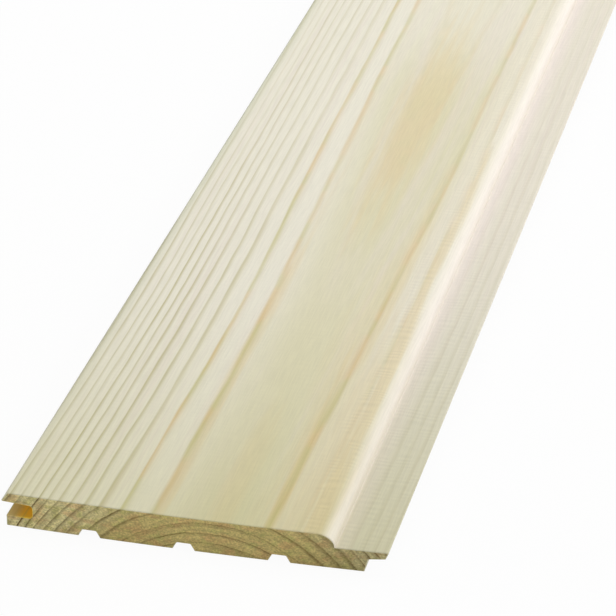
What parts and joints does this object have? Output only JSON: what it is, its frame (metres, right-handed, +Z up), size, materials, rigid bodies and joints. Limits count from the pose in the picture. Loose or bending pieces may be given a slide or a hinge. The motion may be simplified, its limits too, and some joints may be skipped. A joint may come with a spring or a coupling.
{
  "type": "tongue and groove board",
  "caption": "Planed softwood panelling board with a tongue and shelf along one edge, a groove under a face lip along the other, and relief channels in the back.",
  "frame": {"origin": "middle of the back: halfway between the two edges and halfway between the two ends", "axes": "+X across the board from the groove to the tongue, +Y along it, +Z up from the back to the face"},
  "size_m": [0.146, 2, 0.014],
  "materials": {
    "planed_softwood": "planed, untreated, with sawn ends"
  },
  "bodies": {
    "root": {"tongue_and_groove_board": "planed_softwood"}
  },
  "joints": []
}
